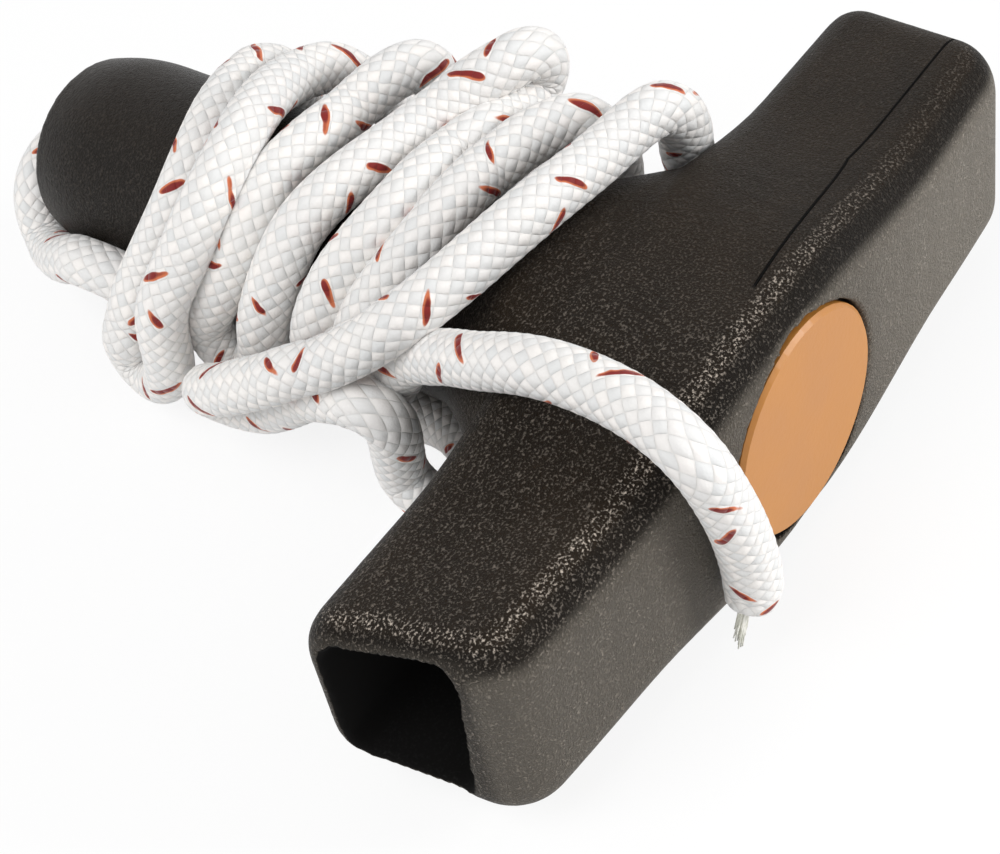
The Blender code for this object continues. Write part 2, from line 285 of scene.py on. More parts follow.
# Colour of the painted glints on the grain's tops.
PAINTED_GLINT = (0.52, 0.45, 0.38, 1.0)
STEM_FROM, STEM_TO = -0.012, 0.010
TIP_FROM, TIP_TO = 0.034, 0.039


def grip_color(tree, relief, spot, facing):
    """The plastic's colour over the whole grip, with painted shade on the edges, and where it
    gets a painted sheen.
    """
    x, y, _ = spot
    facing_x, facing_y, facing_z = facing
    base = tree.mix(tree.spread(relief["Clouds"], 0.35, 0.68), BLACK_DEEP, BLACK_WORN)
    base = tree.mix(tree.spread(y, STEM_FROM, STEM_TO), base, STEM_BLACK)
    # Painted shade: the rounded edges are darkened into a dark band between the top and the outer
    # face.
    edge_shade = tree.spread(facing_z, 0.90, 0.78)
    base = tree.mix(tree.times(edge_shade, 0.6), base, EDGE_SHADE)
    # Painted sheen: the outer face, turned to the lamp on the right, is painted pale, paler
    # towards the far end.
    not_up = tree.spread(facing_z, 0.24, 0.60, 1.0, 0.0)
    painted_sheen = tree.times(not_up, tree.spread(facing_y, -0.10, -0.5))
    # The bar's two tips get a little of the same painted sheen.
    at_tips = tree.spread(tree.math("ABSOLUTE", x), TIP_FROM, TIP_TO, 0.0, 0.30)
    endwise = tree.spread(tree.math("ABSOLUTE", facing_x), 0.6, 0.9)
    painted_sheen = tree.math("MAXIMUM", painted_sheen, tree.times(endwise, at_tips))
    pale = tree.mix(relief["Tops"], SHEEN_PITS, SHEEN_TOPS)
    pale = tree.mix(tree.spread(x, -0.005, 0.030, 0.0, 0.6), pale, SHEEN_FAR)
    return tree.mix(painted_sheen, base, pale), painted_sheen


print("grip colours from", BLACK_DEEP[:3], "to", SHEEN_FAR[:3])

# %% [markdown]
# The grain's tops get painted glints: specks painted bright into the colour where the lamps'
# highlights fall, and made a little glossier. Along the top face's long edge, and at the near
# tip, where the rounding starts, a band of painted glints follows the edge. It is found from
# the normal alone: where the surface has begun to turn down, but has not yet turned far. The
# band fades towards the far half, and the rest of the top keeps a few weaker painted specks.


# %% Painted glints
BAND_BEGINS, BAND_FULL, BAND_FADES, BAND_ENDS = -0.06, -0.22, -0.38, -0.58


def painted_glints(tree, relief, spot, facing, painted_sheen):
    """How strongly painted glints brighten the grain's tops, most along the edges of the top
    face.
    """
    x = spot[0]
    facing_x, facing_y, facing_z = facing
    bands = []
    for way in (facing_y, facing_x):
        begun = tree.spread(way, BAND_BEGINS, BAND_FULL)
        bands.append(tree.times(begun, tree.spread(way, BAND_ENDS, BAND_FADES)))
    along_side = tree.times(bands[0], tree.spread(x, -0.010, 0.030, 1.0, 0.15))
    at_tip = tree.times(bands[1], tree.spread(x, -0.029, -0.036))
    turned = tree.math("MAXIMUM", along_side, at_tip)
    turned = tree.times(turned, tree.spread(facing_z, 0.70, 0.85))
    flat = tree.spread(x, 0.012, -0.016, 0.05, 0.26)
    flat = tree.times(flat, tree.math("SUBTRACT", 1.0, painted_sheen))
    return tree.math("ADD", flat, tree.times(turned, 0.80), clamp=True)


print("specks where the normal leans by", BAND_BEGINS, "to", BAND_ENDS)

# %% [markdown]
# Two dark parts are left. The core pockets in the bar's ends get a painted shade, nearly black:
# a wall inside one faces the middle of the pocket, and a wall outside faces away from it, so
# the sign of place times normal tells them apart. And a thin parting line, left where two parts
# of the tool met, runs along the top of the far half and bends slightly towards the hub.


# %% Pockets and parting line
BAR_Y, BAR_Z = -0.033, 0.0145
SEAM_Y, SEAM_BEND, SEAM_STRAIGHT_FROM = 0.0372, 0.0026, 0.021
SEAM_HALF, SEAM_SOFT = 0.00005, 0.00016


def pocket_walls(tree, spot, facing):
    """One on the walls that face the bar's own axis, which get painted shade."""
    out_y = tree.times(tree.math("SUBTRACT", spot[1], BAR_Y), facing[1])
    out_z = tree.times(tree.math("SUBTRACT", spot[2], BAR_Z), facing[2])
    return tree.spread(tree.math("ADD", out_y, out_z), -0.004, -0.001, 1.0, 0.0)


def parting_line(tree, spot):
    """One on the thin line along the top of the bar's far half."""
    x, y, z = spot
    ease = tree.spread(x, 0.0, SEAM_STRAIGHT_FROM, 1.0, 0.0, soft=False)
    bend = tree.times(tree.math("POWER", ease, 0.75), SEAM_BEND)
    offset = tree.math("ADD", tree.math("ADD", y, SEAM_Y), bend)
    line = tree.spread(tree.math("ABSOLUTE", offset), SEAM_HALF, SEAM_SOFT, 1.0, 0.0)
    return tree.times(line, tree.spread(x, 0.0004, 0.0010), tree.spread(z, 0.0196, 0.0216))


print("parting line", 1000 * SEAM_SOFT, "mm to each side")

# %% [markdown]
# Now the parts come together in one material. The grain fades along Y, so that the stem is
# smooth. The specks are glossier than the pits round them, and the pockets are duller. The
# grain and the parting line's groove go through two Bump nodes in a row.


# %% Black grip plastic
GRIP_GRAIN_DEPTH, SEAM_DEPTH = 0.00044, 0.00020


def make_black():
    """Warm black plastic with grain, painted glints and shade, a painted sheen and a parting
    line.
    """
    made, tree, shader = new_material("grip_black")
    shader.inputs["Specular IOR Level"].default_value = 0.15
    place = tree.place()
    spot, facing = tree.axes(place), tree.axes(tree.place("Normal"))
    relief = tree.group(grain, Place=place, Scale=3900.0, Sharpness=0.15)
    grained = tree.spread(spot[1], -0.030, -0.006, 1.0, 0.25)
    base, painted_sheen = grip_color(tree, relief, spot, facing)
    glint = painted_glints(tree, relief, spot, facing, painted_sheen)
    # The painted glints fall only on the grain's tops, and less on the smooth stem.
    glint = tree.times(relief["Tops"], grained, glint)
    line = parting_line(tree, spot)
    # Here dark holds the pockets' painted shade and the parting line.
    dark = tree.math("MAXIMUM", pocket_walls(tree, spot, facing), line)
    color = tree.mix(dark, tree.mix(glint, base, PAINTED_GLINT), POCKET_SHADE_AND_SEAM)
    rough = tree.spread(grained, 0.25, 1.0, 0.36, 0.50, soft=False)
    rough = tree.math("SUBTRACT", rough, tree.times(glint, 0.25))
    rough = tree.math("ADD", rough, tree.times(dark, 0.5))
    height = tree.times(relief["Height"], grained, tree.math("SUBTRACT", 1.0, dark))
    normal = tree.bump(height, 1.0, GRIP_GRAIN_DEPTH)
    normal = tree.bump(tree.times(line, -1.0), 1.0, SEAM_DEPTH, normal)
    tree.surface(shader, color, rough, normal)
    return made


black = make_black()
print("material", black.name, "with", len(black.node_tree.nodes), "nodes")

# %% [markdown]
# The cap is a smooth orange moulding with a satin face. The other small pieces are hidden
# inside the stem, but they get real finishes too: natural nylon for the anchor and bright
# drawn wire for the spring, mottled by fine drawing marks. Cap and anchor share one recipe
# with the grain group at low strength.


# %% Cap, anchor and spring materials
SATIN_DEPTH = 0.00003
ORANGE, ORANGE_PALE = (0.475, 0.190, 0.034, 1), (0.51, 0.212, 0.042, 1)
NYLON, NYLON_PALE = (0.62, 0.61, 0.57, 1), (0.70, 0.69, 0.66, 1)
WIRE_DARK, WIRE_BRIGHT = (0.46, 0.46, 0.47, 1.0), (0.66, 0.66, 0.67, 1.0)


def make_plastic(name, color, other, roughness):
    """A satin moulded plastic with a little colour drift."""
    made, tree, shader = new_material(name)
    place = tree.place()
    relief = tree.group(grain, Place=place, Scale=1900.0, Sharpness=0.25)
    drift = tree.spread(relief["Clouds"], 0.3, 0.7)
    rough = tree.spread(relief["Clouds"], 0.3, 0.7, roughness - 0.04, roughness + 0.05)
    normal = tree.bump(relief["Height"], 0.35, SATIN_DEPTH)
    tree.surface(shader, tree.mix(drift, color, other), rough, normal)
    return made


def make_steel():
    """Bright spring wire with drawing marks."""
    made, tree, shader = new_material("spring_wire")
    place = tree.place()
    marks = tree.noise(place, 1400.0, 4.0, 0.7)
    shader.inputs["Metallic"].default_value = 1.0
    rough = tree.spread(marks, 0.3, 0.7, 0.22, 0.38)
    normal = tree.bump(marks, 0.3, 0.00002)
    tree.surface(shader, tree.mix(marks, WIRE_DARK, WIRE_BRIGHT), rough, normal)
    return made


orange = make_plastic("cap_orange", ORANGE, ORANGE_PALE, 0.42)
nylon = make_plastic("anchor_nylon", NYLON, NYLON_PALE, 0.40)
steel = make_steel()
print("materials", orange.name, nylon.name, steel.name)

# %% [markdown]
# The rope is a braided sleeve. Ten bundles of white yarn run round it one way and ten the
# other way, and each goes over one and under one. Seen flat, that is a lattice of small
# diamonds about a millimetre and a half long. The rope mesh below carries two numbers in
# its UV map: how far along the rope a point is, counted in diamonds, and how far round it
# is. From their sum and difference the group finds which diamond a point is in, which way
# its yarn runs, and how high it stands. One bundle each way is a red tracer that shows only
# as short dashes with a darker core.

# %% Braid group
BRAID_STEP = 1.55
BRAID_ROUND = 10
TRACER_BEAT = 4.3
FLECK_LENGTH, FLECK_SQUEEZE = 1.35, 2.5


def braid_group():
    """Height, shade and tracer marks of a braided sleeve, from along and round counts."""
    tree, start, end = new_group(
        "braided_sleeve",
        (
            ("Along", "NodeSocketFloat", 0.0),
            ("Round", "NodeSocketFloat", 0.0),
            ("Place", "NodeSocketVector", None),
        ),
        ("Height", "Gap", "Turn", "Shade", "Tracer", "Core"),
    )
    wander = tree.math("SUBTRACT", tree.noise(start.outputs["Place"], 260.0, 2.0), 0.5)
    along = tree.math("ADD", start.outputs["Along"], tree.times(wander, 0.5))
    one = tree.math("ADD", along, start.outputs["Round"])
    two = tree.math("SUBTRACT", along, start.outputs["Round"])
    cell = []
    for value in (one, two):
        whole = tree.math("FLOOR", value)
        part = tree.math("SUBTRACT", value, whole)
        arch = tree.math("SINE", tree.times(part, math.pi))
        cell.append((whole, part, arch))
    parity = tree.math("FLOORED_MODULO", tree.math("ADD", cell[0][0], cell[1][0]), 2.0)
    heights = []
    for across, lengthwise in ((cell[1][2], cell[0][2]), (cell[0][2], cell[1][2])):
        body = tree.math("POWER", across, 0.55)
        hump = tree.math("ADD", 0.45, tree.times(lengthwise, 0.55))
        heights.append(tree.times(body, hump))
    first = tree.times(heights[0], tree.math("SUBTRACT", 1.0, parity))
    second = tree.times(heights[1], parity)
    height = tree.math("ADD", first, second)
    tree.feed(end.inputs["Height"], height)
    tree.feed(end.inputs["Gap"], tree.spread(height, 0.18, 0.62, 1.0, 0.0))
    tree.feed(end.inputs["Turn"], parity)
    which = tree.node("ShaderNodeCombineXYZ")
    tree.feed(which.inputs[0], cell[0][0])
    tree.feed(which.inputs[1], cell[1][0])
    own = tree.node("ShaderNodeTexWhiteNoise", noise_dimensions="2D")
    tree.feed(own.inputs["Vector"], which.outputs[0])
    tree.feed(end.inputs["Shade"], own.outputs["Value"])
    marks, cores = [], []
    for (whole, part, _), spot, slip in ((cell[1], 3.0, 0.15), (cell[0], 7.0, 2.4)):
        bundle = tree.math("FLOORED_MODULO", whole, BRAID_ROUND)
        near = tree.math("ABSOLUTE", tree.math("SUBTRACT", bundle, spot))
        same = tree.math("LESS_THAN", near, 0.5)
        beat = tree.math("DIVIDE", tree.math("ADD", along, slip), TRACER_BEAT)
        beat = tree.math("FRACT", tree.math("ADD", beat, tree.times(wander, 0.5)))
        ahead = tree.times(tree.math("SUBTRACT", beat, 0.5), 2 * TRACER_BEAT / FLECK_LENGTH)
        across = tree.times(tree.math("SUBTRACT", part, 0.5), FLECK_SQUEEZE)
        away = tree.math("ADD", tree.math("POWER", ahead, 2.0), tree.math("POWER", across, 2.0))
        lens = tree.math("SUBTRACT", 1.0, away)
        marks.append(tree.times(tree.spread(lens, 0.0, 0.35), same))
        deep = tree.math("ADD", lens, tree.times(across, 0.45))
        cores.append(tree.times(tree.spread(deep, 0.25, 0.75), same))
    tree.feed(end.inputs["Tracer"], tree.math("ADD", marks[0], marks[1], clamp=True))
    tree.feed(end.inputs["Core"], tree.math("ADD", cores[0], cores[1], clamp=True))
    return tree.tree


braid = braid_group()
print("group", braid.name, "with", len(braid.nodes), "nodes")

# %% [markdown]
# Polyester yarn is white with a soft sheen. The gaps between the bundles get a slightly grey
# painted shade, and the two directions of yarn catch the light differently, so every other
# diamond looks a little bluer. Each diamond also has a shade of its own, and a fine
# roughness in the height stands for the single fibres.


# %% Rope material
YARN_WHITE, YARN_BRIGHT = (0.90, 0.870, 0.845, 1), (0.94, 0.905, 0.87, 1)
# The second colour below is painted shade for the gaps between the bundles.
YARN_COOL, GAP_SHADE = (0.75, 0.76, 0.76, 1), (0.52, 0.51, 0.48, 1)
TRACER_RED, TRACER_DEEP = (0.62, 0.170, 0.070, 1), (0.20, 0.012, 0.010, 1)
CORE_DULL, CORE_PALE = (0.60, 0.60, 0.52, 1), (0.82, 0.81, 0.75, 1)
BRAID_DEPTH = 0.00026


def make_rope_look():
    """White braid with painted shade in the gaps and red-orange tracer dashes."""
    made, tree, shader = new_material("starter_rope")
    flat = tree.node("ShaderNodeUVMap", uv_map="braid")
    along, around, _ = tree.axes(flat.outputs[0])
    place = tree.place()
    sleeve = tree.group(braid, Along=along, Round=around, Place=place)
    clouds = tree.noise(place, 160.0, 3.0)
    white = tree.mix(tree.spread(clouds, 0.35, 0.7), YARN_WHITE, YARN_BRIGHT)
    cooler = tree.math("ADD", tree.times(sleeve["Turn"], 0.55), -0.10)
    cooler = tree.math("ADD", cooler, tree.times(sleeve["Shade"], 0.45), clamp=True)
    blue = tree.mix(cooler, white, YARN_COOL)
    # Painted shade in the gaps between the bundles.
    grey = tree.mix(tree.times(sleeve["Gap"], 0.20), blue, GAP_SHADE)
    red = tree.mix(sleeve["Core"], TRACER_RED, TRACER_DEEP)
    color = tree.mix(sleeve["Tracer"], grey, red)
    rough = tree.spread(clouds, 0.3, 0.7, 0.62, 0.78)
    shader.inputs["Sheen Weight"].default_value = 0.25
    shader.inputs["Sheen Roughness"].default_value = 0.4
    shader.inputs["Specular IOR Level"].default_value = 0.35
    fibre = tree.noise(place, 5200.0, 2.0)
    height = tree.math("ADD", sleeve["Height"], tree.times(fibre, 0.18))
    tree.surface(shader, color, rough, tree.bump(height, 0.70, BRAID_DEPTH))
    return made


def make_yarn_look():
    """The duller white of the loose core yarns."""
    made, tree, shader = new_material("core_yarn")
    streaks = tree.noise(tree.place(), 1500.0, 3.0)
    shade = tree.mix(tree.spread(streaks, 0.35, 0.65), CORE_DULL, CORE_PALE)
    tree.feed(shader.inputs["Base Color"], shade)
    tree.feed(shader.inputs["Roughness"], tree.spread(streaks, 0.3, 0.7, 0.6, 0.8))
    shader.inputs["Sheen Weight"].default_value = 0.2
    return made


rope_look = make_rope_look()
yarn_look = make_yarn_look()
print("materials", rope_look.name, yarn_look.name)

# %% [markdown]
# The rope's route was read from the picture, strand by strand. It leaves the hole in the
# nose, turns back along the stem, passes under it and then goes to and fro over the crest
# from the nose to the hub. The sixth strand lies across the others. The tail comes out from
# beneath it, climbs over the bar and hangs down the outer face. Each stretch has a hold: 1
# where the picture shows the strand, less where it is hidden and free to find its own
# place. The loops on the far side are guessed. They were made longer than the first fit
# had them, so that the drawn rope comes within a tenth of the length declared at the end.
# Points are in millimetres.

# %% Route of the rope
ROUTE = (
    ("inside", 1.0, (
        (0.0, 34.0, 14.5), (0.0, 38.0, 14.5), (0.0, 42.0, 14.5), (0.0, 44.5, 14.5),
    )),
    ("nose turn", 1.0, (
        (-0.4, 46.4, 14.7), (-2.4, 47.7, 15.4), (-6.8, 47.5, 13.8), (-8.3, 47.2, 12.0),
        (-9.4, 46.2, 9.7), (-10.3, 43.7, 8.4), (-13.8, 34.9, 13.0), (-13.9, 31.8, 13.3),
        (-13.6, 29.7, 13.0),
    )),
    ("dive", 0.2, (
        (-13.2, 24.0, 9.0), (-11.0, 20.5, 5.0), (-7.5, 18.5, 2.7),
    )),
    ("under the stem", 0.6, (
        (-3.5, 18.0, 1.9), (0.0, 18.0, 1.7), (3.5, 18.1, 1.9), (8.0, 18.8, 2.7),
    )),
    ("far side, first", 0.6, (
        (14.0, 19.6, 2.7), (20.0, 20.2, 2.7), (29.0, 21.2, 2.8), (34.2, 24.0, 3.6),
        (32.0, 27.4, 6.4), (22.6, 28.2, 9.0), (15.8, 27.2, 13.2), (13.4, 25.8, 18.4),
        (11.4, 24.4, 23.0),
    )),
    ("first strand", 1.0, (
        (7.5, 23.6, 26.6), (4.8, 22.8, 27.2), (1.1, 21.8, 28.1), (-2.1, 21.0, 27.9),
        (-4.9, 20.3, 27.2), (-7.8, 20.1, 25.7), (-10.1, 20.4, 23.8), (-12.4, 21.4, 21.0),
        (-14.2, 22.8, 17.9), (-16.4, 23.6, 15.3), (-17.2, 25.4, 10.6),
    )),
    ("low turn", 0.8, (
        (-16.9, 27.6, 6.9), (-17.0, 26.4, 4.0), (-17.8, 22.8, 3.9), (-19.0, 18.6, 9.6),
    )),
    ("second strand", 1.0, (
        (-19.0, 17.7, 16.1), (-18.2, 16.8, 19.4), (-16.1, 16.0, 21.7), (-14.2, 14.9, 24.3),
        (-12.2, 14.3, 26.4), (-10.1, 14.0, 28.0), (-7.7, 14.0, 29.5), (-4.8, 14.5, 30.4),
        (-1.4, 15.5, 30.4), (2.9, 17.0, 29.4), (6.8, 17.8, 27.8), (10.0, 17.6, 26.7),
        (12.4, 17.2, 25.4),
    )),
    ("far side, second", 0.6, (
        (14.4, 16.8, 22.0), (17.0, 16.6, 18.0), (19.2, 16.4, 12.6), (21.6, 16.4, 6.8),
        (28.0, 16.2, 3.0), (34.6, 14.0, 2.8), (35.4, 9.6, 2.8), (29.4, 7.0, 3.0),
        (21.6, 7.4, 6.0), (17.8, 7.8, 12.6), (16.8, 7.8, 19.4), (16.2, 7.2, 25.0),
    )),
    ("third strand", 1.0, (
        (14.4, 7.1, 27.7), (12.4, 8.1, 28.2), (9.0, 8.9, 28.1), (5.6, 9.7, 27.3),
        (1.0, 9.5, 28.1), (-2.6, 10.0, 27.8), (-5.6, 10.8, 26.9), (-8.0, 11.0, 25.5),
        (-10.3, 11.5, 23.3), (-12.5, 12.6, 20.3), (-14.2, 14.5, 16.5), (-14.4, 17.2, 12.4),
    )),
    ("low turn, third", 0.2, (
        (-13.9, 16.2, 6.6), (-13.4, 13.4, 5.6), (-13.4, 10.6, 7.4),
    )),
    ("fourth strand", 1.0, (
        (-14.4, 8.4, 15.3), (-13.0, 7.3, 19.4), (-10.8, 6.3, 22.9), (-8.0, 5.4, 25.5),
        (-4.9, 4.0, 27.2), (-1.3, 2.6, 28.0), (2.9, 1.8, 28.0), (7.2, 0.7, 28.3),
        (10.6, -1.3, 29.4), (13.6, -3.2, 30.6), (16.0, -4.7, 31.6), (17.8, -5.5, 31.1),
        (18.8, -5.2, 28.8),
    )),
    ("top turn", 1.0, (
        (18.2, -4.3, 25.9),
    )),
    ("fifth strand", 1.0, (
        (15.0, -4.6, 25.9), (11.6, -4.8, 26.8), (7.2, -5.1, 28.1), (4.2, -3.8, 27.5),
        (-0.4, -4.3, 28.1), (-4.2, -4.0, 27.4), (-7.3, -3.1, 26.1), (-10.0, -1.6, 24.0),
        (-12.2, -0.4, 21.4), (-13.8, 0.9, 18.2),
    )),
    ("down to the floor", 0.4, (
        (-14.2, 2.4, 12.6), (-13.4, 2.6, 7.6), (-11.0, 1.6, 3.8), (-8.4, -1.6, 2.6),
        (-7.2, -5.2, 2.5), (-7.6, -9.2, 2.5), (-10.0, -12.8, 2.6), (-13.4, -14.8, 2.8),
        (-16.6, -14.2, 2.8), (-17.6, -11.4, 2.8),
    )),
    ("lower strand", 1.0, (
        (-16.6, -8.2, 4.6), (-17.4, -9.5, 9.9), (-18.0, -10.8, 15.3), (-18.4, -10.0, 17.9),
        (-18.4, -6.1, 16.8), (-18.2, -1.9, 15.7),
    )),
    ("return", 0.5, (
        (-18.1, 5.6, 8.8), (-17.9, 9.6, 6.8),
    )),
    ("left turn", 0.6, (
        (-18.2, 12.6, 6.7), (-19.3, 13.8, 8.8), (-20.7, 12.2, 11.2),
    )),
    ("sixth strand", 1.0, (
        (-21.3, 9.5, 12.6), (-21.5, 5.2, 15.6), (-20.9, 1.2, 17.9), (-20.1, -2.4, 19.8),
        (-18.7, -6.2, 22.1), (-16.7, -10.0, 24.7), (-14.3, -12.7, 26.9),
        (-11.4, -14.3, 28.2), (-8.5, -15.6, 29.2), (-5.3, -16.6, 30.0), (-1.6, -17.8, 30.8),
        (3.0, -18.5, 30.7), (7.6, -19.0, 30.3), (12.2, -19.5, 30.5), (15.8, -20.3, 30.8),
        (17.6, -21.1, 29.3), (19.2, -20.7, 25.4), (19.6, -20.0, 22.1),
    )),
    ("far side, sixth", 0.6, (
        (21.2, -19.6, 17.6), (22.6, -20.0, 12.0), (25.6, -20.4, 6.6), (31.0, -19.8, 3.4),
        (33.4, -15.4, 2.8), (28.4, -11.2, 2.8), (22.0, -10.2, 5.2), (19.8, -10.6, 10.4),
        (18.8, -11.8, 15.6), (17.6, -13.0, 20.8),
    )),
    ("seventh strand", 1.0, (
        (14.6, -12.7, 27.4), (11.8, -11.0, 28.2), (8.0, -9.5, 28.3), (3.4, -8.2, 27.9),
        (-2.0, -8.2, 28.2), (-5.9, -7.4, 27.0), (-9.0, -5.9, 24.9), (-11.6, -4.4, 22.4),
        (-13.5, -3.3, 19.2),
    )),
    ("tail start", 0.2, (
        (-15.0, -1.2, 15.4), (-15.9, -2.6, 13.0), (-16.0, -5.6, 13.2), (-15.2, -8.6, 16.6),
    )),
    ("tail rise", 0.8, (
        (-14.2, -10.7, 21.0), (-14.4, -13.8, 22.2),
    )),
    ("tail", 1.0, (
        (-15.1, -17.3, 24.4), (-16.2, -21.8, 27.0), (-16.6, -25.4, 29.0),
        (-16.8, -29.6, 30.6), (-16.7, -33.6, 30.9), (-16.9, -37.8, 30.9),
        (-17.6, -42.0, 30.6), (-18.5, -45.7, 29.6), (-17.3, -46.6, 24.9),
        (-16.2, -47.3, 19.8), (-15.0, -47.3, 14.0), (-14.5, -47.3, 9.0),
        (-15.8, -47.3, 7.5),
    )),
)
print("route points:", sum(len(points) for _, _, points in ROUTE))

# %% [markdown]
# A rope can't pass through the stem, the floor or itself, and the listed points always do
# a little. A physics simulation would let the winding spring open. So the route is relaxed
# in small steps instead: each point is drawn straight between its neighbours, back to where
# the picture shows it, and out of whatever it touches. This is the same idea as a cloth
# solver's contact step, on one line of points. Straightening pulls sharp loops in, so now
# and then the free loops on top are aimed past their place by as much as they fell short.
# Last, the few bends that are still tighter than a rope can take are opened a little.

# %% Relax the route
ROPE_RADIUS = 2.45
AXIS_Z = 14.5
SPACING = 2.2
HELD_POINTS = 6
FLARE_FROM, FLARE_LENGTH, FLARE_OUT = -27.2, 18.0, 16.0
STEM_WIDE, STEM_HIGH, STEM_WAIST = 11.1, 12.7, 1.6
NOSE_FROM, NOSE_LENGTH, NOSE_TAPER = 36.0, 7.1, 1.2
STEM_BACK, STEM_FRONT = -24.0, 44.5


def smooth_line(points, holds, spacing):
    """Evenly spaced points on a smooth curve through the route, with their holds."""
    ends = np.vstack([2 * points[0] - points[1], points, 2 * points[-1] - points[-2]])
    grip = np.concatenate([holds[:1], holds, holds[-1:]])
    line, kept = [], []
    for k in range(1, len(ends) - 2):
        a, b, c, d = ends[k - 1 : k + 3]
        for i in range(12):
            t = i / 12
            line.append(0.5 * (
                2 * b + (c - a) * t + (2 * a - 5 * b + 4 * c - d) * t**2
                + (3 * b - a - 3 * c + d) * t**3
            ))
            kept.append(min(grip[k], grip[k + 1]))
    line = np.array(line + [points[-1]])
    kept = np.array(kept + [holds[-1]])
    steps = np.linalg.norm(np.diff(line, axis=0), axis=1)
    along = np.concatenate([[0], np.cumsum(steps)])
    count = int(round(along[-1] / spacing))
    want = np.linspace(0, along[-1], count + 1)
    even = np.stack([np.interp(want, along, line[:, k]) for k in range(3)], 1)
    return even, np.interp(want, along, kept)


def out_of_stem(points, clearance):
    """How far each point has to move to clear the stem and its flare."""
    x, y, z = points[:, 0], points[:, 1], points[:, 2] - AXIS_Z
    reach = np.clip((y - FLARE_FROM) / FLARE_LENGTH, 0, 1)
    wide = STEM_WIDE + FLARE_OUT * (1 - reach) ** 1.5
    high = STEM_HIGH + STEM_WAIST * np.cos(2 * np.arcsin(reach))
    nose = STEM_WIDE - NOSE_TAPER * np.clip((y - NOSE_FROM) / NOSE_LENGTH, 0, 1) ** 2
    wide = np.where(y > NOSE_FROM, nose, wide)
    high = np.where(y > NOSE_FROM, nose, high)
    radius = np.hypot(x, z) + 0.001
    side, up = x / radius, z / radius
    surface = 1 / np.sqrt((side / wide) ** 2 + (up / high) ** 2 + 1e-9)
    short = np.where((y < STEM_FRONT) & (y > STEM_BACK), surface + clearance - radius, 0)
    short = np.maximum(short, 0)
    return np.stack([side * short, 0 * short, up * short], 1)


def touching(points, half):
    """The push that parts stretches of rope that run into each other."""
    number = np.arange(len(points))
    apart = np.abs(number[:, None] - number[None]) > 4
    gap = points[:, None] - points[None]
    length = np.linalg.norm(gap, axis=2) + 1e-9
    need = (half[:, None] + half[None]) * 0.97
    overlap = np.where(apart & (length < need), need - length, 0)
    return (gap / length[..., None] * overlap[..., None]).sum(1) * 0.5


def bends(points):
    """The pull towards a straight line at each point, and how sharp it is bent."""
    middle = np.zeros_like(points)
    middle[1:-1] = (points[:-2] + points[2:]) / 2 - points[1:-1]
    sharp = np.clip((np.linalg.norm(middle, axis=1) - 0.55) / 0.4, 0, 1)
    return middle, np.convolve(sharp, [0.3, 0.6, 1, 0.6, 0.3], "same").clip(0, 1)


def cleared(points, half):
    """The points moved out of the stem and up from the floor."""
    push = out_of_stem(points, half * 0.99 + 0.1)
    push[:HELD_POINTS] = 0
    points = points + push
    points[:, 2] = np.maximum(points[:, 2], half + 0.05)
    return points


def relaxed(points, holds, rounds=300, aims=4):
    """The route after its contacts have settled, and its half thickness."""
    seen, home = points.copy(), points.copy()
    near = np.exp(-(((home[:, 1] - 18) / 9) ** 2))
    pressed = near * (np.abs(home[:, 0]) < 9) * (home[:, 2] < 6)
    half = ROPE_RADIUS * (1 - 0.32 * pressed)
    free_loop = (holds > 0.9) * ((seen[:, 2] > 20) | (seen[:, 1] > 40))
    for turn in range(rounds):
        middle, sharp = bends(points)
        move = middle * (0.25 + 0.6 * sharp)[:, None]
        move += (home - points) * (holds * 0.25 * (1 - 0.9 * sharp))[:, None]
        move += touching(points, half)
        move[:HELD_POINTS] = 0
        points = points + move
        for _ in range(2):
            points = cleared(points, half)
        if turn % 60 == 59 and turn < 60 * aims:
            short = (seen - points) * (free_loop * sharp)[:, None]
            for k in range(3):
                short[:, k] = np.convolve(short[:, k], [0.15, 0.2, 0.3, 0.2, 0.15], "same")
            home = home + short * 0.9
    for _ in range(60):
        middle = bends(points)[0]
        tight = (np.linalg.norm(middle, axis=1) > 0.80).astype(float)
        tight[: HELD_POINTS + 2] = 0
        tight = np.convolve(tight, [0.4, 0.8, 1, 0.8, 0.4], "same").clip(0, 1)
        push = touching(points, half) * 0.6
        push[:HELD_POINTS] = 0
        points = cleared(points + middle * 0.5 * tight[:, None] + push, half)
    return points, half


def rope_line():
    """The settled centreline and half thickness, in millimetres."""
    points = np.array([p for _, _, stretch in ROUTE for p in stretch])
    holds = np.array([hold for _, hold, stretch in ROUTE for _ in stretch])
    line, kept = smooth_line(points, holds, SPACING)
    return relaxed(line, kept)


line, half = rope_line()
rope_length = float(np.linalg.norm(np.diff(line, axis=0), axis=1).sum())
print("rope length", round(rope_length, 1), "mm in", len(line), "points")

# %% [markdown]
# The rope itself is one tube swept along the settled line. A curve object with a round
# bevel would do for a plain cord, but the braid needs a UV map that counts along and round
# the rope without stretching, and the surface should swell a little at each diamond. So the
# rings are placed in code. Each ring's frame is carried on from the one before with the
# least turn, which keeps the braid from twisting.

# %% Rope tube
RING_SPACING = 0.36
SIDES = 40
VISIBLE_RADIUS = 2.62
CUT_TAPER = 2.2


def carried_frames(points):
    """Two side directions for each point, turned as little as possible."""
    tangent = np.gradient(points, axis=0)
    tangent /= np.linalg.norm(tangent, axis=1)[:, None]
    side = np.cross(tangent[0], (0.0, 0.0, 1.0))
    side /= np.linalg.norm(side)
    sides = []
    for t in tangent:
        side = side - t * (side @ t)
        side /= np.linalg.norm(side)
        sides.append(side)
    sides = np.array(sides)
    return sides, np.cross(tangent, sides)


def new_object(name, data):
    """An object in the scene that holds the mesh or the lamp."""
    made = bpy.data.objects.new(name, data)
    scene.collection.objects.link(made)
    return made


